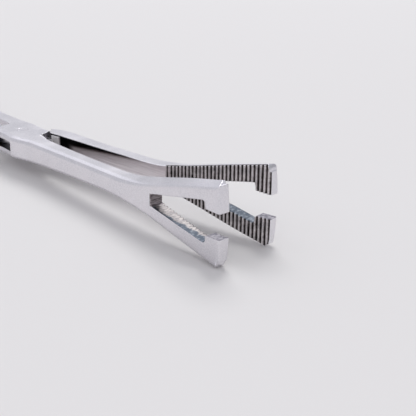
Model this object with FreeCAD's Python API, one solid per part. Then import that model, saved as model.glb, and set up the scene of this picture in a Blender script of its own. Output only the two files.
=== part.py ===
"""Slotted tissue forceps with a box joint, ring handles and a ratchet.

The instrument is two drop-forged halves and one rivet. box_arm carries the box, a block with a slot
through it that tang_arm passes through, and pivot_pin joins them. Lengths are millimetres and angles are
degrees.

Frame: the origin is on the rivet's axis at mid height, +Z runs along the rivet and +X towards the jaw tips.
The two halves are drawn closed and are then turned to the rest opening. Closed, the jaw faces meet on the
plane Y = JAW_OFFSET and the shanks lie evenly on both sides of the rivet. Both halves have the same jaw
forging: it is drawn with its face on Y = 0 and its back towards +Y, and the box half gets it rolled over
about X.
"""

import FreeCAD
import Part
import math
import os

Vector = FreeCAD.Vector
ORIGIN = Vector(0, 0, 0)
X_AXIS = Vector(1, 0, 0)
Y_AXIS = Vector(0, 1, 0)
Z_AXIS = Vector(0, 0, 1)

# Opening
REST_OPENING = 9.4          # angle between the jaw faces at rest
STOP_OPENING = 53.0         # angle at which the tang meets the ends of the box's walls

# Jaws
JAW_REACH = 63.5            # rivet to jaw tip
JAW_OFFSET = 1.2            # rivet to the plane where the jaws meet
JAW_WIDTH = 15.4            # head, across the tip
JAW_SIDE_TAPER = 0.218      # how fast each side of the head draws in, going back from the tip
JAW_SIDE_RADIUS = 425.0     # slow outward bow of the head's sides
JAW_TIP_THICKNESS = 2.2
JAW_THICKENING = 0.033      # how fast the jaw thickens, going back from the tip
JAW_FACE_LENGTH = 23.2      # serrated face, back from the tip
JAW_FACE_GAP = 0.05         # jaw face to the plane where the jaws meet
JAW_CREST = 0.7             # from the jaw face to the highest line of the head's rounded side
JAW_INNER_DROP = 0.25       # from that line down to the jaw face
JAW_OUTER_DROPS = (0.45, 0.95)      # from that line down to the jaw's back, on the upper and lower side
JAW_FLARES = (2.8, 4.0)     # how tightly each side of the neck curves out into the head: more is tighter
JAW_EDGE_RADIUS = 0.4       # round edges of the jaw's back
JAW_END_RADIUS = 55.0       # curve of the end face, seen from the side
JAW_CORNER_BEVEL = 0.9      # flat corner of the end
JAW_CORNER_RADIUS = 1.5     # round corner of the end
GROOVE_PITCH = 0.85
GROOVE_DEPTH = 0.36
GROOVE_CREST = 0.20         # flat left between two grooves

# Slot that opens through the jaw's tip between two inturned feet
SLOT_REACH = 16.9           # tip to the slot's closed end
SLOT_END_WIDTH = 2.3        # at the closed end
SLOT_FOOT_WIDTH = 7.6       # just behind the feet
SLOT_CORNER_RADIUS = 0.65
FOOT_LENGTH = 3.3           # along the jaw
FOOT_GAP_BACK = 4.6         # between the two feet, at their back
FOOT_GAP_FRONT = 4.4        # between the two feet, at the tip
FOOT_CORNER_RADIUS = 0.3

# Neck between joint and jaw; its sides are measured from the plane where the jaws meet
NECK_START = 9.6            # from the rivet
NECK_ROOT_INNER = 1.0
NECK_ROOT_OUTER = 4.7
NECK_HEAD_OUTER = 3.3
NECK_WAIST_HEIGHT = 3.95
NECK_BLEND = 4.0            # length over which the neck's section turns into the jaw's, behind the jaw face
NECK_EDGE_RADII = (0.6, 0.9)        # round upper and lower edge of the neck and of the box's sides
EDGE_BREAK = 0.12           # small bevel on the inner edges

# Box joint
BOX_HEIGHT = 4.6
BOX_REACH = 5.85            # radius of the cheeks' ends about the rivet
BOX_HALF_WIDTH = 4.7        # rivet to the box's side, at its widest
BOX_END_HALF_WIDTH = 4.4    # the same at the cheeks' ends
BOX_WIDEST = 3.0            # rivet to the box's widest place, along X
BOX_SLOT_HEIGHT = 1.9
WALL_END = 2.9              # rivet to the end of each side wall of the box
WALL_FACE_GAP = 0.10        # a wall's inner face to the plane where the jaws or the shanks meet
TANG_HEIGHT = 1.8
TANG_GAP = 0.05             # tang to the walls of the box
TANG_WEB_WIDTH = 3.0        # webs of the tang, where they run into the shoulders
TANG_STOP_LENGTH = 1.7      # facet on the front web that meets the end of the box's far wall
SHOULDER_GAP = 0.25         # shoulders of the tang arm to the cheeks' ends
SHOULDER_CORNER = 1.1       # rounding of each shoulder's inner corner
SHOULDER_DEPTH = 0.4        # how far the tang's webs run into the shoulders
SHOULDER_START = 3.0        # rivet to where the tang arm's outer side begins, along X
SHOULDER_FALL = 1.75        # how far that side falls away towards the shoulder
LAND_REACH = 9.3            # machined land on the tang arm's inner side: its far end
LAND_PROUD = 0.25           # height of the land's face over the forging
LAND_HEIGHT = 3.8
PIN_DIAMETER = 2.4
PIN_RUNNING_GAP = 0.03      # radial, in the tang
PIN_EDGE_BREAK = 0.10

# Shanks
SHANK_START = 8.0           # from the rivet
SHANK_ROOT_INNER = 0.5      # inner side to the plane Y = 0, there
SHANK_ROOT_WIDTH = 3.9
SHANK_WIDTH = 3.15
SHANK_HEIGHT = 3.7
SHANK_EDGE_RADIUS = 0.8
SHANK_FLARE = 2.0           # how much the shank widens where it meets the ring
SHANK_FLARE_LENGTH = 6.5    # from that widest place back to the plain shank
SHANK_FLARE_PLACE = 1.5     # that widest place to the ring's front
SHANK_END = 5.5             # ring's front to the shank's end inside the band
SHANK_END_TURN = 1.4        # how far the shank's inner side turns in towards the band there
SHANK_END_HEIGHT = 2.6

# Ratchet
RATCHET_REACH = 60.0        # rivet to the middle of the bar
RATCHET_WIDTH = 5.0
RATCHET_BAR_HEIGHT = 1.4    # back of the bar to its tooth roots
RATCHET_TOOTH_HEIGHT = 0.7
RATCHET_TOOTH_PITCH = 1.5
RATCHET_TEETH = 4
RATCHET_TIP_GAP = 0.15      # tip to the plane Y = 0, jaws closed
RATCHET_TIP_BEVEL = 0.5

# Finger rings
RING_REACH = 82.0           # rivet to the middle of the ring
RING_HOLE_LENGTH = 23.0
RING_HOLE_WIDTH = 19.0
RING_BAND_WIDTH = 3.2
RING_BAND_HEIGHT = 4.0
RING_BAND_FLATS = 12        # flats round the band's section
RING_END_OFFSET = 5.0       # centre of each end arc to the ring's middle
RINGS_APART = 7.2           # between the two rings, jaws closed

# Making
TIP_ALLOWANCE = 1.0         # jaw blank beyond the tip, which trimming takes off
BEYOND = 12.0               # how far a cutting tool reaches past what it cuts

FACE_START = JAW_REACH - JAW_FACE_LENGTH
SLOT_END = JAW_REACH - SLOT_REACH
FRONT_WALL_FACE = JAW_OFFSET - WALL_FACE_GAP
SHOULDER_RADIUS = BOX_REACH + SHOULDER_GAP
ARC_MIDDLE = 1 - math.sqrt(0.5)     # where the middle of a round corner lies between the corner and its ends
BOX_HALF_HEIGHTS = (BOX_HEIGHT / 2, BOX_HEIGHT / 2)
LEVEL = (0, 0)


def mix(start, end, share):
    """The value a share of the way from start to end."""
    return start + (end - start) * share


def ease(share):
    """Goes smoothly from 0 to 1 with share, and stays there."""
    share = min(max(share, 0), 1)
    return share * share * (3 - 2 * share)


def outline(corners, place):
    """A closed wire through corners (a, b, radius), each rounded; place turns (a, b) into a point."""
    count = len(corners)
    starts, ends, middles = [], [], []
    for i, (a, b, radius) in enumerate(corners):
        corner = Vector(a, b, 0)
        before = Vector(*corners[i - 1][:2], 0) - corner
        after = Vector(*corners[(i + 1) % count][:2], 0) - corner
        before.normalize()
        after.normalize()
        half_angle = before.getAngle(after) / 2
        reach = radius / math.tan(half_angle)
        starts.append(corner + before * reach)
        ends.append(corner + after * reach)
        inward = before + after
        if radius:
            inward.normalize()
            middles.append(corner + inward * (radius / math.sin(half_angle) - radius))
        else:
            middles.append(corner)
    edges = []
    for i in range(count):
        if corners[i][2]:
            arc = [place(p.x, p.y) for p in (starts[i], middles[i], ends[i])]
            edges.append(Part.Arc(*arc).toShape())
        start, end = ends[i], starts[(i + 1) % count]
        edges.append(Part.makeLine(place(start.x, start.y), place(end.x, end.y)))
    return Part.Wire(edges)


def in_plan(x, y):
    return Vector(x, y, 0)


def plan_prism(wire, height):
    """Extrudes a wire in the plane Z = 0 to the given height, centred on that plane."""
    solid = Part.Face(wire).extrude(Vector(0, 0, height))
    solid.translate(Vector(0, 0, -height / 2))
    return solid


def plan_polygon(points, height):
    """A prism of the given height over straight sides through (x, y) points."""
    return plan_prism(Part.makePolygon([in_plan(x, y) for x, y in points + points[:1]]), height)


def side_prism(wire):
    """Extrudes a wire in the plane Y = -BEYOND right across the jaw's thickness."""
    return Part.Face(wire).extrude(Vector(0, 2 * BEYOND, 0))


def in_side_view(x, z):
    return Vector(x, -BEYOND, z)


def pick_edges(shape, wanted):
    """The edges of shape whose middle point passes the test wanted(point)."""
    found = []
    for edge in shape.Edges:
        first, last = edge.ParameterRange
        if wanted(edge.valueAt((first + last) / 2)):
            found.append(edge)
    return found


def half_turn(shape):
    """A copy of shape turned half a turn about the rivet's axis."""
    copy = shape.copy()
    copy.rotate(ORIGIN, Z_AXIS, 180)
    return copy


def section(x, inner, outer, half_heights, edges, crest=EDGE_BREAK, inner_drop=EDGE_BREAK, outer_drops=LEVEL):
    """Cross-section of an arm at x; its pairs of values are for above and below.

    Its top rises from the inner side by inner_drop to the crest, falls by outer_drop to the outer side and
    turns into that side with a round edge, drawn as two flats. Below, it does the same the other way up."""
    sides = []
    for half_height, edge, outer_drop in zip(half_heights, edges, outer_drops):
        top = Vector(x, inner + crest, half_height)
        corner = Vector(x, outer, half_height - outer_drop)
        along_top = top - corner
        along_top.normalize()
        on_top = along_top * edge
        on_side = Vector(0, 0, -edge)
        bend = corner + (on_top + on_side) * ARC_MIDDLE
        start = Vector(x, inner, half_height - inner_drop)
        sides.append([start, top, corner + on_top, bend, corner + on_side])
    upper, lower = sides
    points = upper + [Vector(p.x, p.y, -p.z) for p in reversed(lower)]
    return Part.makePolygon(points + points[:1])


def straight_loft(sections):
    return Part.makeLoft(sections, True, True)


def smooth_loft(sections):
    return Part.makeLoft(sections, True, False)


def jaw_section(x):
    """Section of neck and jaw at x, between the joint and the tip."""
    back = JAW_REACH - x
    neck_share = min(max((x - NECK_START) / (FACE_START - NECK_START), 0), 1)
    jaw_share = ease((x - FACE_START + NECK_BLEND) / (SLOT_END - FACE_START + NECK_BLEND))
    neck_outer = mix(NECK_HEAD_OUTER, NECK_ROOT_OUTER, (1 - neck_share) ** 1.8)
    jaw_outer = JAW_TIP_THICKNESS + JAW_THICKENING * back
    neck_half = mix(NECK_WAIST_HEIGHT, BOX_HEIGHT, (1 - neck_share) ** 3) / 2
    head_half = max(JAW_WIDTH / 2 - JAW_SIDE_TAPER * back - back ** 2 / (2 * JAW_SIDE_RADIUS), 0)
    return section(
        x,
        NECK_ROOT_INNER * (1 - neck_share ** 1.5),
        mix(neck_outer, jaw_outer, jaw_share),
        [(neck_half ** flare + head_half ** flare) ** (1 / flare) for flare in JAW_FLARES],
        [mix(neck_edge, JAW_EDGE_RADIUS, jaw_share) for neck_edge in NECK_EDGE_RADII],
        mix(EDGE_BREAK, JAW_CREST, jaw_share),
        mix(EDGE_BREAK, JAW_INNER_DROP, jaw_share),
        [drop * jaw_share for drop in JAW_OUTER_DROPS],
    )


def jaw_blank():
    """Neck and jaw from the joint's forging to just past the tip."""
    end = JAW_REACH + TIP_ALLOWANCE
    shares = (0, 0.08, 0.17, 0.27, 0.37, 0.46, 0.54, 0.61, 0.68, 0.76, 0.87, 1)
    return smooth_loft([jaw_section(mix(NECK_START, end, share)) for share in shares])


def trim_tip(jaw):
    """Gives the end face its shallow curve, rounds it into the jaw's back and takes off its two corners."""
    rise = JAW_WIDTH
    setback = JAW_END_RADIUS - math.sqrt(JAW_END_RADIUS ** 2 - rise ** 2)
    past = JAW_REACH + BEYOND
    low, middle, high = (JAW_REACH - setback, -rise), (JAW_REACH, 0), (JAW_REACH - setback, rise)
    curve = Part.Arc(*[in_side_view(x, z) for x, z in (low, middle, high)]).toShape()
    rest = Part.makePolygon([in_side_view(x, z) for x, z in (high, (past, rise), (past, -rise), low)])
    jaw = jaw.cut(side_prism(Part.Wire([curve] + rest.Edges)))
    near_end = JAW_REACH - FOOT_LENGTH / 2
    between_feet = FOOT_GAP_FRONT / 2
    at_back = pick_edges(jaw, lambda p: p.x > near_end and p.y > JAW_TIP_THICKNESS / 2)
    back_edge = [edge for edge in at_back if abs(edge.CenterOfMass.z) < between_feet]
    jaw = jaw.makeFillet(JAW_EDGE_RADIUS, back_edge)
    top = JAW_WIDTH / 2
    end = JAW_REACH - top ** 2 / (2 * JAW_END_RADIUS)
    bevel, radius = JAW_CORNER_BEVEL, JAW_CORNER_RADIUS
    jaw = jaw.cut(corner_cut(end, -top, [(end, bevel - top), (end - bevel, -top)]))
    inset = ARC_MIDDLE * radius
    round_corner = [(end, top - radius), (end - inset, top - inset), (end - radius, top)]
    return jaw.cut(corner_cut(end, top, round_corner))


def corner_cut(end, top, cut):
    """What comes off one corner of the jaw's end: a flat through two points, or an arc through three."""
    outward = math.copysign(1, top)
    start, stop = in_side_view(*cut[0]), in_side_view(*cut[-1])
    through = [in_side_view(x, z) for x, z in cut]
    edge = Part.Arc(*through).toShape() if len(cut) == 3 else Part.makeLine(start, stop)
    around = [
        stop,
        in_side_view(cut[-1][0], top + outward),
        in_side_view(end + BEYOND, top + outward),
        in_side_view(end + BEYOND, cut[0][1]),
        start,
    ]
    return side_prism(Part.Wire([edge] + Part.makePolygon(around).Edges))


def jaw_slot():
    """What the slot through the jaw removes: a wedge, widest at the feet, and the gap between the feet."""
    foot = JAW_REACH - FOOT_LENGTH
    past = JAW_REACH + BEYOND
    gap_growth = (FOOT_GAP_FRONT - FOOT_GAP_BACK) / FOOT_LENGTH
    past_gap = FOOT_GAP_BACK + gap_growth * (past - foot)
    upper = [
        (SLOT_END, SLOT_END_WIDTH / 2, SLOT_CORNER_RADIUS),
        (foot, SLOT_FOOT_WIDTH / 2, SLOT_CORNER_RADIUS),
        (foot, FOOT_GAP_BACK / 2, FOOT_CORNER_RADIUS),
        (past, past_gap / 2, 0),
    ]
    lower = [(x, -z, radius) for x, z, radius in reversed(upper)]
    return side_prism(outline(upper + lower, in_side_view))


def serrations(shift):
    """What cutting the grooves and grinding the jaw's face flat remove.

    The grooves start a share of a pitch, shift, behind the tip."""
    face = JAW_FACE_GAP
    root = face + GROOVE_DEPTH
    groove = GROOVE_PITCH - GROOVE_CREST
    points = [(JAW_REACH + BEYOND, -BEYOND), (JAW_REACH + BEYOND, face)]
    x = JAW_REACH - shift * GROOVE_PITCH
    while x - GROOVE_PITCH > FACE_START:
        points += [(x, face), (x - groove / 2, root), (x - groove, face)]
        x -= GROOVE_PITCH
    back = FACE_START - NECK_BLEND
    points += [(back, face), (back, -BEYOND)]
    return plan_polygon(points, 2 * BEYOND)


def jaw_half(groove_shift):
    """Neck and finished jaw in the jaw's own frame."""
    return trim_tip(jaw_blank()).cut(serrations(groove_shift)).cut(jaw_slot())


def ring_front():
    return RING_REACH - RING_HOLE_LENGTH / 2 - RING_BAND_WIDTH


def shank_section(x):
    """Section of the shank at x from the rivet, between the joint and the ring."""
    share = min((x - SHANK_START) / (ring_front() - SHANK_START), 1)
    root_share = (1 - share) ** 3
    end_share = max((x - ring_front()) / SHANK_END, 0) ** 2
    from_flare = min(abs(x - ring_front() - SHANK_FLARE_PLACE) / SHANK_FLARE_LENGTH, 1)
    side_of_ring = RINGS_APART / 2 + RING_BAND_WIDTH
    inner = mix(SHANK_ROOT_INNER, side_of_ring, share ** 1.2)
    width = mix(SHANK_WIDTH, SHANK_ROOT_WIDTH, root_share)
    height = mix(mix(SHANK_HEIGHT, BOX_HEIGHT, root_share), SHANK_END_HEIGHT, end_share)
    inner_edge = mix(SHANK_EDGE_RADIUS / 2, EDGE_BREAK, root_share)
    return section(
        x,
        inner + SHANK_END_TURN * end_share,
        inner + width + SHANK_FLARE * ease(1 - from_flare),
        (height / 2, height / 2),
        [mix(SHANK_EDGE_RADIUS, neck_edge, root_share) for neck_edge in NECK_EDGE_RADII],
        inner_edge,
        inner_edge,
    )


def shank():
    """Shank from the joint's forging to inside the ring's band, drawn on the -Y side behind the rivet."""
    end = ring_front() + SHANK_END
    shares = (0, 0.08, 0.18, 0.32, 0.48, 0.66, 0.8, 0.87, 0.91, 0.95, 1)
    return half_turn(smooth_loft([shank_section(mix(SHANK_START, end, share)) for share in shares]))


def ring():
    """Finger ring: an oval of four tangent arcs, with a many-sided band that is taller than it is wide."""
    half_length = (RING_HOLE_LENGTH + RING_BAND_WIDTH) / 2
    half_width = (RING_HOLE_WIDTH + RING_BAND_WIDTH) / 2
    centre = Vector(-RING_REACH, -(RINGS_APART + RING_BAND_WIDTH) / 2 - half_width, 0)
    excess = half_width - half_length
    side_offset = -excess * (excess + 2 * RING_END_OFFSET) / (2 * (RING_END_OFFSET + excess))
    end_radius = half_length - RING_END_OFFSET
    side_radius = half_width + side_offset
    join = math.degrees(math.atan2(side_offset, RING_END_OFFSET))
    turns = [2 * math.pi * (flat + 0.5) / RING_BAND_FLATS for flat in range(RING_BAND_FLATS)]
    to_corner = 0.5 / math.cos(math.pi / RING_BAND_FLATS)
    band = [(RING_BAND_WIDTH * math.cos(turn), RING_BAND_HEIGHT * math.sin(turn)) for turn in turns]
    arcs = [
        (Vector(RING_END_OFFSET, 0, 0), end_radius, -join, 2 * join),
        (Vector(0, -side_offset, 0), side_radius, join, 180 - 2 * join),
        (Vector(-RING_END_OFFSET, 0, 0), end_radius, 180 - join, 2 * join),
        (Vector(0, side_offset, 0), side_radius, 180 + join, 180 - 2 * join),
    ]
    pieces = []
    for middle, radius, start, sweep in arcs:
        points = [Vector(radius + to_corner * across, 0, to_corner * up) for across, up in band]
        piece = Part.Face(Part.makePolygon(points + points[:1])).revolve(ORIGIN, Z_AXIS, sweep)
        piece.rotate(ORIGIN, Z_AXIS, start)
        piece.translate(centre + middle)
        pieces.append(piece)
    return pieces[0].fuse(pieces[1:])


def ratchet():
    """Ratchet bar above mid height, reaching in from the shank, with its teeth pointing down.

    Each tooth slopes on the tip's side and drops straight on the shank's side, so that it holds against
    opening."""
    root = RATCHET_TOOTH_HEIGHT / 2
    back = root + RATCHET_BAR_HEIGHT
    tip = -RATCHET_TIP_GAP
    inside_shank = -(RINGS_APART + SHANK_WIDTH) / 2 - RING_BAND_WIDTH
    points = [(tip, back - RATCHET_TIP_BEVEL), (tip, root)]
    for tooth in range(1, RATCHET_TEETH + 1):
        y = tip - tooth * RATCHET_TOOTH_PITCH
        points += [(y, -root), (y, root)]
    points += [(inside_shank, root), (inside_shank, back), (tip - RATCHET_TIP_BEVEL, back)]
    start = -RATCHET_REACH - RATCHET_WIDTH / 2
    corners = [Vector(start, y, z) for y, z in points + points[:1]]
    return Part.Face(Part.makePolygon(corners)).extrude(Vector(RATCHET_WIDTH, 0, 0))


def handle():
    """Shank, ring and ratchet bar of one half, on the -Y side behind the rivet."""
    return shank().fuse([ring(), ratchet()])


def box_side(end_section, end, end_width, offset):
    """One rounded side of the box, from the cheeks' far ends to where it runs into an arm at x = end.

    It is drawn in front of the rivet with its outer side towards +Y. offset is how far the arm's own frame
    lies off the rivet, and end_width is the arm's outer side in that frame."""
    inner = BOX_HALF_WIDTH / 2
    places = [(-SHOULDER_RADIUS, BOX_END_HALF_WIDTH), (0, (2 * BOX_END_HALF_WIDTH + BOX_HALF_WIDTH) / 3)]
    steps = 4
    for step in range(steps):
        share = step / steps
        places.append((mix(BOX_WIDEST, end, share), mix(BOX_HALF_WIDTH, end_width - offset, ease(share))))
    sections = [section(x, inner + offset, y + offset, BOX_HALF_HEIGHTS, NECK_EDGE_RADII) for x, y in places]
    return straight_loft(sections + [end_section])


def beyond_cheeks(face):
    """What rounding the front ends of both cheeks about the rivet removes, beyond the plane Y = face."""
    past = 2 * BEYOND
    block = plan_polygon([(0, face), (past, face), (past, past), (0, past)], 2 * BOX_HEIGHT)
    return block.cut(Part.makeCylinder(BOX_REACH, 2 * BOX_HEIGHT, Vector(0, 0, -BOX_HEIGHT)))


def box_block():
    """Middle of the box, between its two rounded sides, with the inner sides of both arm roots."""
    inside = BOX_END_HALF_WIDTH - max(NECK_EDGE_RADII)
    crotch = math.sqrt(BOX_REACH ** 2 - FRONT_WALL_FACE ** 2)
    return plan_polygon([
        (crotch, FRONT_WALL_FACE),
        (SHOULDER_RADIUS, FRONT_WALL_FACE),
        (SHOULDER_RADIUS, inside),
        (-SHANK_START, inside),
        (-SHANK_START, SHANK_ROOT_INNER),
        (-BOX_REACH, WALL_FACE_GAP),
        (-SHOULDER_RADIUS, WALL_FACE_GAP),
        (-SHOULDER_RADIUS, -inside),
        (BOX_REACH, -inside),
        (NECK_START - EDGE_BREAK, -NECK_ROOT_OUTER / 2),
        (NECK_START - EDGE_BREAK, JAW_OFFSET - NECK_ROOT_INNER),
    ], BOX_HEIGHT)


def box_slot():
    """What the slot through the box removes: all of its middle layer but the two side walls."""
    past = 3 * BEYOND
    return plan_polygon([
        (WALL_END, -past), (WALL_END, FRONT_WALL_FACE), (past, FRONT_WALL_FACE), (past, past),
        (-WALL_END, past), (-WALL_END, WALL_FACE_GAP), (-past, WALL_FACE_GAP), (-past, -past),
    ], BOX_SLOT_HEIGHT)


def seat_box_jaw(shape):
    """Rolls a shape drawn in the jaw's own frame over about X, to the box half's side of the jaw plane."""
    shape.rotate(ORIGIN, X_AXIS, 180)
    shape.translate(Y_AXIS * JAW_OFFSET)
    return shape


def make_box_arm():
    """The half with the box: its jaw lies on the -Y side."""
    near_side = seat_box_jaw(box_side(jaw_section(NECK_START), NECK_START, NECK_ROOT_OUTER, JAW_OFFSET))
    shank_outer = SHANK_ROOT_INNER + SHANK_ROOT_WIDTH
    far_side = half_turn(box_side(shank_section(SHANK_START), SHANK_START, shank_outer, 0))
    far_side.rotate(ORIGIN, X_AXIS, 180)
    bore = Part.makeCylinder(PIN_DIAMETER / 2, 2 * BEYOND, Vector(0, 0, -BEYOND))
    cheek_ends = [beyond_cheeks(FRONT_WALL_FACE), half_turn(beyond_cheeks(-WALL_FACE_GAP))]
    box = box_block().fuse([near_side, far_side]).cut(cheek_ends + [box_slot(), bore])
    rolled_handle = handle()
    rolled_handle.rotate(ORIGIN, X_AXIS, 180)
    return box.fuse([seat_box_jaw(jaw_half(0.5)), rolled_handle]).removeSplitter()


def shoulder_cut(inner):
    """What shaping a shoulder removes from the front: all within the shoulder's radius, and its inner corner.

    inner is the inner side of the arm that the shoulder belongs to."""
    radius, past = SHOULDER_RADIUS, BEYOND
    corner = in_plan(math.sqrt(radius ** 2 - inner ** 2), inner)
    corner_turn = math.atan2(corner.y, corner.x)
    arc_end_turn = corner_turn + SHOULDER_CORNER / radius
    arc_end = in_plan(radius * math.cos(arc_end_turn), radius * math.sin(arc_end_turn))
    side_end = corner + X_AXIS * SHOULDER_CORNER
    bend = corner + (arc_end - corner + side_end - corner) * ARC_MIDDLE
    middle_turn = (arc_end_turn + math.pi / 2) / 2
    arc_middle = in_plan(radius * math.cos(middle_turn), radius * math.sin(middle_turn))
    top = in_plan(0, radius)
    edges = [Part.Arc(top, arc_middle, arc_end).toShape(), Part.Arc(arc_end, bend, side_end).toShape()]
    around = [side_end, in_plan(side_end.x, -past), in_plan(-past, -past), in_plan(-past, radius), top]
    return plan_prism(Part.Wire(edges + Part.makePolygon(around).Edges), 2 * BOX_HEIGHT)


def tang_jaw_root():
    """Full-height root of the tang arm's jaw, with the machined land on its inner side."""
    sections = []
    for share in (0, 0.14, 0.3, 0.55):
        x = mix(SHOULDER_START, NECK_START, share)
        outer = NECK_ROOT_OUTER - SHOULDER_FALL * (1 - share) ** 3
        sections.append(section(x, NECK_ROOT_INNER, outer, BOX_HALF_HEIGHTS, NECK_EDGE_RADII))
    root = straight_loft(sections + [jaw_section(NECK_START)])
    root.translate(Y_AXIS * JAW_OFFSET)
    forging = JAW_OFFSET + NECK_ROOT_INNER
    root = root.cut(shoulder_cut(forging))
    inside_root = forging + LAND_PROUD
    start = SHOULDER_RADIUS + SHOULDER_CORNER / 2
    land = plan_polygon([
        (start, forging),
        (start + LAND_PROUD, forging - LAND_PROUD),
        (LAND_REACH - LAND_PROUD, forging - LAND_PROUD),
        (LAND_REACH, forging),
        (LAND_REACH, inside_root),
        (start, inside_root),
    ], LAND_HEIGHT)
    return root.fuse(land)


def tang_shank_root():
    """Full-height root of the tang arm's shank, drawn in front of the rivet on the +Y side."""
    inner, outer = SHANK_ROOT_INNER, SHANK_ROOT_INNER + SHANK_ROOT_WIDTH
    first = section(SHOULDER_START, inner, outer, BOX_HALF_HEIGHTS, NECK_EDGE_RADII)
    root = straight_loft([first, shank_section(SHANK_START)])
    return root.cut(shoulder_cut(inner))


def web(side, flank):
    """Thin web from the eye to a shoulder, drawn in front of the rivet on the +Y side of the line Y = side.

    flank is its +Y side, from a point inside the shoulder's root to the eye."""
    under_root = SHOULDER_RADIUS + SHOULDER_CORNER
    root_side = max(side, flank[0][1] - 2 * SHOULDER_CORNER)
    return plan_polygon([(0, side), (SHOULDER_RADIUS, side), (under_root, root_side)] + flank, TANG_HEIGHT)


def front_web():
    """Web towards the jaw. Its stop facet meets the end of the box's far wall when the jaws are wide open."""
    eye = WALL_END - TANG_GAP
    side = FRONT_WALL_FACE + TANG_GAP
    facet = math.radians(180 - STOP_OPENING)
    across, along = (math.cos(facet), math.sin(facet)), (math.sin(facet), -math.cos(facet))
    start = (eye * across[0], eye * across[1])
    end = (start[0] + TANG_STOP_LENGTH * along[0], start[1] + TANG_STOP_LENGTH * along[1])
    return web(side, [(SHOULDER_RADIUS + SHOULDER_DEPTH, side + TANG_WEB_WIDTH), end, start])


def rear_web():
    """Slimmer web towards the shank, which leaves the eye at its side."""
    side = TANG_GAP - WALL_FACE_GAP
    at_eye = (WALL_END - TANG_GAP) * math.sqrt(0.5)
    return half_turn(web(side, [(SHOULDER_RADIUS + SHOULDER_DEPTH, side + TANG_WEB_WIDTH), (at_eye, at_eye)]))


def make_tang_arm():
    """The half that passes through the box: its jaw lies on the +Y side."""
    eye = WALL_END - TANG_GAP
    disc = Part.makeCylinder(eye, TANG_HEIGHT, Vector(0, 0, -TANG_HEIGHT / 2))
    bore = Part.makeCylinder(PIN_DIAMETER / 2 + PIN_RUNNING_GAP, 2 * BEYOND, Vector(0, 0, -BEYOND))
    tang = disc.fuse([front_web(), rear_web()]).cut(bore)
    jaw = jaw_half(0)
    jaw.translate(Y_AXIS * JAW_OFFSET)
    return tang.fuse([tang_jaw_root(), half_turn(tang_shank_root()), jaw, handle()]).removeSplitter()


def make_pivot_pin():
    """Plain rivet, ground flush with both cheeks."""
    half_height = BOX_HEIGHT / 2
    pin = Part.makeCylinder(PIN_DIAMETER / 2, BOX_HEIGHT, Vector(0, 0, -half_height))
    rims = pick_edges(pin, lambda p: abs(p.z) > half_height - PIN_EDGE_BREAK)
    return pin.makeChamfer(PIN_EDGE_BREAK, rims)


def main():
    os.makedirs("parts", exist_ok=True)
    box_arm = make_box_arm()
    box_arm.rotate(ORIGIN, Z_AXIS, -REST_OPENING / 2)
    tang_arm = make_tang_arm()
    tang_arm.rotate(ORIGIN, Z_AXIS, REST_OPENING / 2)
    pieces = {"box_arm": box_arm, "tang_arm": tang_arm, "pivot_pin": make_pivot_pin()}
    for node, shape in pieces.items():
        print(node, "solids", len(shape.Solids), "valid", shape.isValid(), "volume", round(shape.Volume, 1))
        shape.exportStep("parts/" + node + ".step")


main()
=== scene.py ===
"""Slotted tissue forceps in satin stainless steel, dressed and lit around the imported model.

Places are in metres. The finishes work in millimetres, in the frame that each half was drawn in: its jaw
closed, +X towards the tip, and the plane where the jaws meet at Y = JAW_OFFSET.
"""

import math

import bpy
from mathutils import Matrix, Vector

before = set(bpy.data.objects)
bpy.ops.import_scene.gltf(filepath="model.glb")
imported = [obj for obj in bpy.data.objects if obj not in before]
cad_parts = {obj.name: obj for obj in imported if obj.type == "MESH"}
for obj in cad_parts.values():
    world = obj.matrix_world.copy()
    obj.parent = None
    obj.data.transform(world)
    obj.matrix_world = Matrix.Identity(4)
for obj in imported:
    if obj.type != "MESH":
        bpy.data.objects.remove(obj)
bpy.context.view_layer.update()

MM = 0.001
PER_MM = 1 / MM

# The halves, in millimetres. A depth runs outwards from the plane where the jaws meet.
REST_HALF_OPENING = math.radians(4.7)
JAW_OFFSET = 1.2            # rivet to that plane
FACE_START = 40.3           # where the serrated face begins
GROOVE_CREST_DEPTH = 0.05
GROOVE_ROOT_DEPTH = 0.41
SLOT_END = 46.6
SLOT_END_HALF_WIDTH = 1.15
SLOT_FOOT_HALF_WIDTH = 3.8
FEET_START = 60.2
NECK_INNER_DEPTH = 1.0      # inner side of the neck, at its root
LAND_START = 6.4
LAND_END = 9.3
LAND_DEPTH = 0.75
BOX_SLOT_HALF_HEIGHT = 0.95
BOX_END = 8.0               # past the cheeks' ends and the shoulders, from the rivet
SHOULDER_RADIUS = 6.1       # hollow face of the tang arm's shoulders, about the rivet
RIVET_RADIUS = 1.2

# Finishes. Sizes are in millimetres.
MARKS_SIZE = 4.0            # handling marks
GRAIN_SIZE = 0.2            # drawn four times as coarse as a bead blast's, so that it shows
GRAIN_HEIGHT = 0.03         # bump
TURNING_PITCH = 0.12        # circular marks on the rivet
EDGE_WEAR_AND_HIGHLIGHT = 0.15            # width of the bright line along an edge, worn and painted as a highlight
EDGE_ROUNDING = 0.2         # radius that edges are shaded with
BEVEL_SAMPLES = 6
SATIN_ROUGHNESS = (0.28, 0.40)
CUT_ROUGHER_BY = 0.15       # serrated face and slot walls
LAND_ROUGHER_BY = 0.4
RIVET_ROUGHNESS = 0.34

# Camera, matched to the photograph
CAMERA_PLACE = Vector((142.3, -91.4, 47.85)) * MM
CAMERA_AZIMUTH = math.radians(43.76)
CAMERA_ELEVATION = math.radians(20.93)
CAMERA_ROLL = math.radians(0.70)
PHOTO_SIDE = 416
FOCAL_PIXELS = 800
SENSOR_WIDTH = 36.0
NEAREST_SEEN = 0.005

# Floor: the instrument lies on the lower corners of its jaws and on its rings
FLOOR_FRONT = Vector((63.0, 0, -7.6)) * MM
FLOOR_BACK = Vector((-90.0, 0, -2.02)) * MM
FLOOR_SIZE = 60.0

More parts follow.
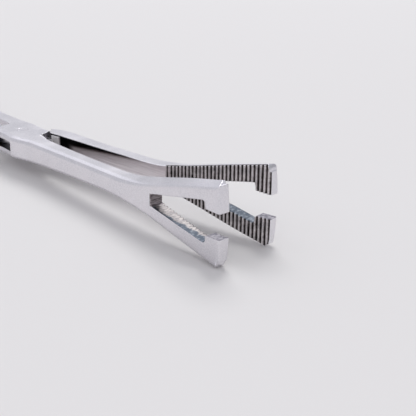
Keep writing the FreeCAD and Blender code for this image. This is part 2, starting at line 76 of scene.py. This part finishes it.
# Studio. A height is the sine of the elevation, 0 at the horizon and 1 overhead.
SWEEP_HEIGHTS = (0.06, 0.2)             # where the floor's sweep turns into the walls
SWEEP_LEVEL = 0.78
WALL_HEIGHTS = (0.4, 0.7)               # where the walls turn from grey to lit
WALL_LEVELS = (0.56, 1.22)
CEILING_HEIGHTS = (0.75, 1.0)           # where the light falls off towards the ceiling
CEILING_SHARES = (1.0, 0.35)
PALE_WALL_BEARING = math.radians(225)   # from +X, to the camera's left
WALL_SHARES = (0.7, 1.1)                # opposite the pale wall, and on it


def linear(hex_colour):
    """sRGB hex colour as linear RGBA."""
    channels = [int(hex_colour[i:i + 2], 16) / 255 for i in (1, 3, 5)]
    return [c / 12.92 if c <= 0.04045 else ((c + 0.055) / 1.055) ** 2.4 for c in channels] + [1.0]


class Nodes:
    """A node tree with one call that adds a node, sets its properties and inputs and links it."""

    def __init__(self, owner):
        owner.use_nodes = True
        self.tree = owner.node_tree
        self.tree.nodes.clear()

    def add(self, kind, inputs=None, out=0, **settings):
        """Adds a shader node and returns its output named or numbered out."""
        node = self.tree.nodes.new("ShaderNode" + kind)
        for key, value in settings.items():
            setattr(node, key, value)
        for key, value in (inputs or {}).items():
            socket = node.inputs[key]
            if isinstance(value, bpy.types.NodeSocket):
                self.tree.links.new(value, socket)
            else:
                socket.default_value = value
        return node.outputs[out] if node.outputs else node

    def axes(self, vector):
        """The X, Y and Z of a vector."""
        return [self.add("SeparateXYZ", {0: vector}, out=axis) for axis in "XYZ"]

    def maths(self, operation, *values):
        """What a Math node makes of these values, each a number or a socket."""
        return self.add("Math", dict(enumerate(values)), operation=operation)

    def mapped(self, value, start, end, at_start, at_end):
        """From at_start, where value is at start, evenly to at_end, where it is at end, and level beyond."""
        keys = ("Value", "From Min", "From Max", "To Min", "To Max")
        return self.add("MapRange", dict(zip(keys, (value, start, end, at_start, at_end))))


class Steel(Nodes):
    """A steel finish that reads places on one half in millimetres, in the frame that half was drawn in.

    A mask is 1 where a finish lies and 0 where it doesn't."""

    def __init__(self, name, half_turn):
        self.material = bpy.data.materials.new(name)
        super().__init__(self.material)
        coordinates = self.add("TexCoord", out="Object")
        turn = {"Vector": coordinates, "Rotation": (0, 0, half_turn), "Scale": (PER_MM,) * 3}
        self.place = self.add("Mapping", turn, vector_type="POINT")
        self.x, self.y, self.z = self.axes(self.place)
        flat_place = self.add("CombineXYZ", {"X": self.x, "Y": self.y})
        self.from_rivet = self.add("VectorMath", {0: flat_place}, out="Value", operation="LENGTH")

    def ramp(self, value, start, end):
        """Mask: 0 where value is at start, 1 where it is at end, smooth between and level beyond."""
        span = {"Value": value, "From Min": start, "From Max": end}
        return self.add("MapRange", span, interpolation_type="SMOOTHSTEP", clamp=True)

    def band(self, value, low, high, blur):
        """Mask: 1 where value lies between low and high, fading over blur on either side."""
        return self.all_of(self.ramp(value, low - blur, low), self.ramp(value, high + blur, high))

    def all_of(self, mask, *others):
        """Mask: where all of these lie."""
        for other in others:
            mask = self.maths("MULTIPLY", mask, other)
        return mask

    def either(self, first, second):
        """Mask: where one or the other lies."""
        return self.maths("MAXIMUM", first, second)

    def blend(self, share, first, second):
        """A colour a share of the way from first to second; either may be a hex colour or a socket."""
        ends = [linear(c) if isinstance(c, str) else c for c in (first, second)]
        return self.add("Mix", {0: share, 6: ends[0], 7: ends[1]}, out=2, data_type="RGBA")

    def mottle(self, size, detail):
        """Noise with features about size across."""
        return self.add("TexNoise", {"Vector": self.place, "Scale": 1 / size, "Detail": detail})

    def streaks(self, sizes, detail):
        """Noise with features of these sizes along X, Y and Z."""
        stretched = self.add("Mapping", {"Vector": self.place, "Scale": [1 / size for size in sizes]})
        return self.add("TexNoise", {"Vector": stretched, "Scale": 1.0, "Detail": detail})

    def bare_metal(self, colour, roughness, **others):
        """The material with this colour and roughness on its surface."""
        inputs = {"Base Color": colour, "Metallic": 1.0, "Roughness": roughness, **others}
        self.add("OutputMaterial", {"Surface": self.add("BsdfPrincipled", inputs)})
        return self.material


class SatinHalf(Steel):
    """Martensitic stainless steel, forged, ground and glass-bead blasted to a satin finish.

    To the eye: pale and soft, with a fine grain, bright where edges are worn and painted with highlights,
    and painted dark as shade in the grooves, in the slots, in the box and on the inner sides near the joint."""

    def __init__(self, name, side):
        """side is 1 for the half whose jaw lies on +Y and -1 for the other."""
        super().__init__(name, -side * REST_HALF_OPENING)
        self.side = side
        self.height = self.maths("ABSOLUTE", self.z)
        self.depth = self.maths("MULTIPLY", self.maths("ADD", self.y, -JAW_OFFSET), side)
        normal_y, normal_z = self.axes(self.add("TexCoord", out="Normal"))[1:]
        self.inward = self.maths("MULTIPLY", normal_y, -side)
        outward_z = self.maths("MULTIPLY", normal_z, self.maths("SIGN", self.z))
        self.faces_middle = self.ramp(outward_z, -0.25, -0.6)

    def lay(self, mask, colour):
        """Lays a colour over those laid before, where the mask is 1."""
        self.colour = self.blend(mask, self.colour, colour)

    def blast(self):
        """Satin with handling marks, and the blast's grain."""
        self.marks = self.mottle(MARKS_SIZE, 3.0)
        self.grain = self.mottle(GRAIN_SIZE, 2.0)
        self.colour = self.blend(self.ramp(self.marks, 0.35, 0.7), "#DBD9DE", "#E3E0E4")
        self.lay(self.ramp(self.grain, 0.3, 0.75), "#EDEBEF")

    def paint_inner_light_and_shade(self):
        """Inner side of the neck, streaked along its length, and painted paler than the satin as light. Near
        the joint
        and along the edges shade is painted: brown-grey, deepening to black on the tang arm and grey on the
        box arm."""
        on_neck = self.all_of(
            self.ramp(self.inward, 0.6, 0.9),
            self.band(self.x, LAND_START, FACE_START + 0.2, 0.2),
            self.ramp(self.depth, NECK_INNER_DEPTH + 0.5, NECK_INNER_DEPTH + 0.2),
        )
        streaked = self.ramp(self.streaks((12.0, 1.0, 0.4), 3.0), 0.35, 0.7)
        # painted paler than the satin, as light on the inner side
        inner = self.blend(streaked, "#F2EDEF", "#DCD5D8")
        lit_half_height = self.mapped(self.x, 12.0, 36.0, 0.35, 1.75)
        into_shade = self.maths("SUBTRACT", self.height, lit_half_height)
        near_joint = self.ramp(self.x, 14.0, 11.5)
        runs_out = self.ramp(self.x, 40.0, 30.0)
        # painted shade: black on the tang arm and grey on the box arm
        deepest_shade = "#0F0D0F" if self.side > 0 else "#8C8385"
        for start, end, colour in ((-0.2, 0.45, "#7A6E6E"), (0.15, 0.7, deepest_shade)):
            shaded = self.either(self.ramp(into_shade, start, end), near_joint)
            inner = self.blend(self.all_of(shaded, runs_out), inner, colour)
        self.lay(on_neck, inner)

    def serrate(self):
        """Serrated face, cut and never blasted: pale crests with ragged borders, and roots painted brownish
        black as shade, both stained in patches. One more dark line of painted shade is drawn behind the first
        groove, where none is cut."""
        ragged = self.maths("MULTIPLY_ADD", self.mottle(0.5, 4.0), 0.24, -0.12)
        ragged_depth = self.maths("ADD", self.depth, ragged)
        cut = self.ramp(ragged_depth, GROOVE_CREST_DEPTH, GROOVE_ROOT_DEPTH - 0.10)
        # a dark line of painted shade, where no groove is cut
        painted_groove_line = self.band(self.x, FACE_START - 0.25, FACE_START - 0.05, 0.15)
        self.groove = self.either(cut, painted_groove_line)
        self.on_face = self.all_of(
            self.ramp(self.depth, GROOVE_ROOT_DEPTH + 0.05, GROOVE_ROOT_DEPTH + 0.01),
            self.ramp(self.inward, 0.2, 0.4),
            self.ramp(self.x, FACE_START - 0.7, FACE_START - 0.5),
        )
        stained = self.ramp(self.mottle(1.5, 2.0), 0.35, 0.65)
        crest = self.blend(stained, "#DCD5D6", "#B4ADAF")
        # roots: painted shade
        root_shade = self.blend(stained, "#463C3E", "#1C1617")
        self.lay(self.on_face, self.blend(self.groove, crest, root_shade))

    def mill_slot(self):
        """Walls of the slot through the jaw, milled and mottled, and painted in darker greys as shade in the
        slot. On the box arm they are light grey by the jaw face and dark bluish grey behind, and the dark
        part widens towards the feet. On the tang arm only a strip along the back is light. The feet are
        plainer, and the closed end is brownish and streaked."""
        milled = self.streaks((0.3, 0.9, 0.3), 4.0)
        stepped = self.ramp(milled, 0.35, 0.65)
        light = self.blend(stepped, "#827E80", "#A6A19F")
        dark = self.blend(self.ramp(milled, 0.45, 0.7), "#4E555F", "#868B93")
        foot = self.blend(stepped, "#6C6A74", "#ADAAB0")
        flecked_depth = self.maths("MULTIPLY_ADD", self.mottle(0.9, 4.0), 2.0, self.depth)
        if self.side < 0:
            border = self.mapped(self.x, SLOT_END + 3, FEET_START, 3.2, 1.5)
            shaded_part = self.ramp(self.maths("SUBTRACT", flecked_depth, border), -0.15, 0.15)
        else:
            shaded_part = self.ramp(flecked_depth, 3.7, 3.4)
        # painted shade: the dark part of the walls
        wall = self.blend(shaded_part, light, dark)
        wall = self.blend(self.ramp(self.x, FEET_START - 0.1, FEET_START + 0.1), wall, foot)
        on_end = self.all_of(
            self.band(self.x, SLOT_END - 0.3, SLOT_END + 0.6, 0.05),
            self.ramp(self.height, SLOT_END_HALF_WIDTH + 0.05, SLOT_END_HALF_WIDTH - 0.05),
        )
        streaked = self.ramp(self.streaks((0.5, 1.2, 0.22), 3.0), 0.35, 0.65)
        wall = self.blend(on_end, wall, self.blend(streaked, "#736B6E", "#B0A8AA"))
        on_sides = self.all_of(
            self.faces_middle,
            self.ramp(self.x, SLOT_END - 0.5, SLOT_END - 0.2),
            self.ramp(self.height, SLOT_FOOT_HALF_WIDTH + 0.3, SLOT_FOOT_HALF_WIDTH + 0.1),
        )
        self.on_wall = self.either(on_sides, on_end)
        self.lay(self.on_wall, wall)

    def paint_box_shade(self):
        """Inside of the box and the tang arm's hollow shoulders: machined and never blasted, and painted near
        black as shade between the parts.
        """
        self.in_box = self.all_of(
            self.ramp(self.height, BOX_SLOT_HALF_HEIGHT + 0.07, BOX_SLOT_HALF_HEIGHT + 0.03),
            self.band(self.x, -2 * BOX_END, BOX_END, 0.1),
            self.faces_middle,
        )
        # painted shade inside the box
        self.lay(self.in_box, "#2B2628")
        if self.side > 0:
            # painted shade on the hollow shoulders
            shoulder_shade = self.band(self.from_rivet, SHOULDER_RADIUS - 0.1, SHOULDER_RADIUS + 0.02, 0.02)
            self.lay(shoulder_shade, "#1B1719")

    def grind_and_highlight_land(self):
        """Land on the tang arm's inner side, ahead of the box: ground, and painted near white as a highlight.
        """
        self.on_land = self.all_of(
            self.band(self.x, LAND_START, LAND_END, 0.05),
            self.band(self.depth, LAND_DEPTH - 0.06, LAND_DEPTH + 0.06, 0.02),
        )
        # painted highlight on the ground land
        self.lay(self.on_land, "#FBFAFA")

    def wear_and_highlight_edges(self):
        """Edges worn bright and painted white as a highlight, but not in the grooves, the slots and the box,
        nor round the rivet, which is ground flush."""
        softened = self.add("Bevel", {"Radius": EDGE_WEAR_AND_HIGHLIGHT * MM}, samples=BEVEL_SAMPLES)
        flat = self.add("NewGeometry", out="Normal")
        turned = self.add("VectorMath", {0: softened, 1: flat}, out="Value", operation="DOT_PRODUCT")
        worn_and_highlit_edge = self.all_of(
            self.ramp(turned, 0.997, 0.93),
            self.ramp(self.groove, 0.6, 0.2),
            self.ramp(self.either(self.in_box, self.on_wall), 0.6, 0.4),
            self.ramp(self.from_rivet, RIVET_RADIUS + 0.2, RIVET_RADIUS + 0.4),
        )
        # painted highlight and wear along the edges
        self.lay(worn_and_highlit_edge, "#FFFFFF")

    def finished(self):
        """The material, with each finish laid over the ones before."""
        self.blast()
        self.paint_inner_light_and_shade()
        self.serrate()
        self.mill_slot()
        self.paint_box_shade()
        self.grind_and_highlight_land()
        self.wear_and_highlight_edges()
        roughness = self.mapped(self.marks, 0.0, 1.0, *SATIN_ROUGHNESS)
        cut = self.either(self.on_face, self.on_wall)
        roughness = self.maths("MULTIPLY_ADD", cut, CUT_ROUGHER_BY, roughness)
        roughness = self.maths("MULTIPLY_ADD", self.on_land, LAND_ROUGHER_BY, roughness)
        rounded = self.add("Bevel", {"Radius": EDGE_ROUNDING * MM}, samples=BEVEL_SAMPLES)
        bump = {"Strength": 0.12, "Distance": GRAIN_HEIGHT * MM, "Height": self.grain, "Normal": rounded}
        return self.bare_metal(self.colour, roughness, Normal=self.add("Bump", bump))


def rivet_steel():
    """Stainless steel rivet, ground flush with the cheeks: fine circular turning marks and a hairline
    darker rim."""
    m = Steel("ground_rivet_steel", 0)
    rings = m.add("CombineXYZ", {"X": m.from_rivet})
    marks = m.add("TexNoise", {"Vector": rings, "Scale": 1 / TURNING_PITCH, "Detail": 2.0})
    ground = m.blend(m.ramp(marks, 0.3, 0.7), "#DCDADF", "#E8E5E9")
    rim = m.ramp(m.from_rivet, RIVET_RADIUS - 0.06, RIVET_RADIUS - 0.02)
    return m.bare_metal(m.blend(rim, ground, "#C9C6CA"), RIVET_ROUGHNESS)


def pale_floor():
    """Matt pale board: plain, light grey, and it keeps the object's soft shadow."""
    floor = bpy.data.materials.new("pale_floor")
    m = Nodes(floor)
    shader = m.add("BsdfPrincipled", {"Base Color": linear("#DDDBDA"), "Roughness": 0.9})
    m.add("OutputMaterial", {"Surface": shader})
    return floor


def add_floor():
    """One large face through the places that the instrument lies on."""
    mesh = bpy.data.meshes.new("floor")
    slope = (FLOOR_FRONT.z - FLOOR_BACK.z) / (FLOOR_FRONT.x - FLOOR_BACK.x)
    level = FLOOR_FRONT.z - slope * FLOOR_FRONT.x
    half = FLOOR_SIZE / 2
    square = ((-half, -half), (half, -half), (half, half), (-half, half))
    corners = [(x, y, level + slope * x) for x, y in square]
    mesh.from_pydata(corners, [], [(0, 1, 2, 3)])
    floor = bpy.data.objects.new("floor", mesh)
    bpy.context.scene.collection.objects.link(floor)
    floor.data.materials.append(pale_floor())


def add_camera():
    back = Vector((
        math.sin(CAMERA_AZIMUTH) * math.cos(CAMERA_ELEVATION),
        -math.cos(CAMERA_AZIMUTH) * math.cos(CAMERA_ELEVATION),
        math.sin(CAMERA_ELEVATION),
    ))
    level_right = (-back).cross(Vector((0, 0, 1))).normalized()
    level_up = level_right.cross(-back)
    right = math.cos(CAMERA_ROLL) * level_right + math.sin(CAMERA_ROLL) * level_up
    up = -math.sin(CAMERA_ROLL) * level_right + math.cos(CAMERA_ROLL) * level_up
    data = bpy.data.cameras.new("camera")
    data.sensor_width = SENSOR_WIDTH
    data.lens = FOCAL_PIXELS / PHOTO_SIDE * SENSOR_WIDTH
    data.clip_start = NEAREST_SEEN
    camera = bpy.data.objects.new("camera", data)
    turn = Matrix((right, up, back)).transposed().to_4x4()
    camera.matrix_world = Matrix.Translation(CAMERA_PLACE) @ turn
    bpy.context.scene.collection.objects.link(camera)
    bpy.context.scene.camera = camera


def add_lamp(name, place, size, power, colour="#FFFFFF"):
    """A round softbox that points at the box joint."""
    data = bpy.data.lights.new(name, "AREA")
    data.shape = "DISK"
    data.size = size
    data.energy = power
    data.color = linear(colour)[:3]
    lamp = bpy.data.objects.new(name, data)
    lamp.location = place
    lamp.visible_camera = False
    lamp.rotation_euler = (-Vector(place)).to_track_quat("-Z", "Y").to_euler()
    bpy.context.scene.collection.objects.link(lamp)


def add_light():
    """A studio and two softboxes. The floor sweeps up into grey walls, one of them paler, which are lit
    higher up, under a grey ceiling."""
    world = bpy.data.worlds.new("studio")
    bpy.context.scene.world = world
    m = Nodes(world)
    east, north, up = m.axes(m.add("TexCoord", out="Generated"))
    from_pale_wall = m.maths("SUBTRACT", m.maths("ARCTAN2", north, east), PALE_WALL_BEARING)
    walls = m.mapped(m.maths("COSINE", from_pale_wall), -1.0, 1.0, *WALL_SHARES)
    rise = m.mapped(up, *WALL_HEIGHTS, *WALL_LEVELS)
    ceiling = m.mapped(up, *CEILING_HEIGHTS, *CEILING_SHARES)
    above_floor = m.maths("MULTIPLY", m.maths("MULTIPLY", rise, ceiling), walls)
    strength = m.mapped(up, *SWEEP_HEIGHTS, SWEEP_LEVEL, above_floor)
    background = m.add("Background", {"Color": linear("#F2F3FA"), "Strength": strength})
    m.add("OutputWorld", {"Surface": background})
    add_lamp("softbox_behind", (-0.9, 1.2, 2.4), size=1.5, power=36)
    add_lamp("softbox_front", (1.7, -1.8, 1.3), size=2.0, power=5.4, colour="#FFF8F2")
    bpy.context.scene.view_settings.view_transform = "Standard"


finishes = {
    "box_arm": SatinHalf("satin_blasted_steel_box_half", -1).finished(),
    "tang_arm": SatinHalf("satin_blasted_steel_tang_half", 1).finished(),
    "pivot_pin": rivet_steel(),
}
for name, finish in finishes.items():
    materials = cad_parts[name].data.materials
    materials.clear()
    materials.append(finish)
add_floor()
add_camera()
add_light()
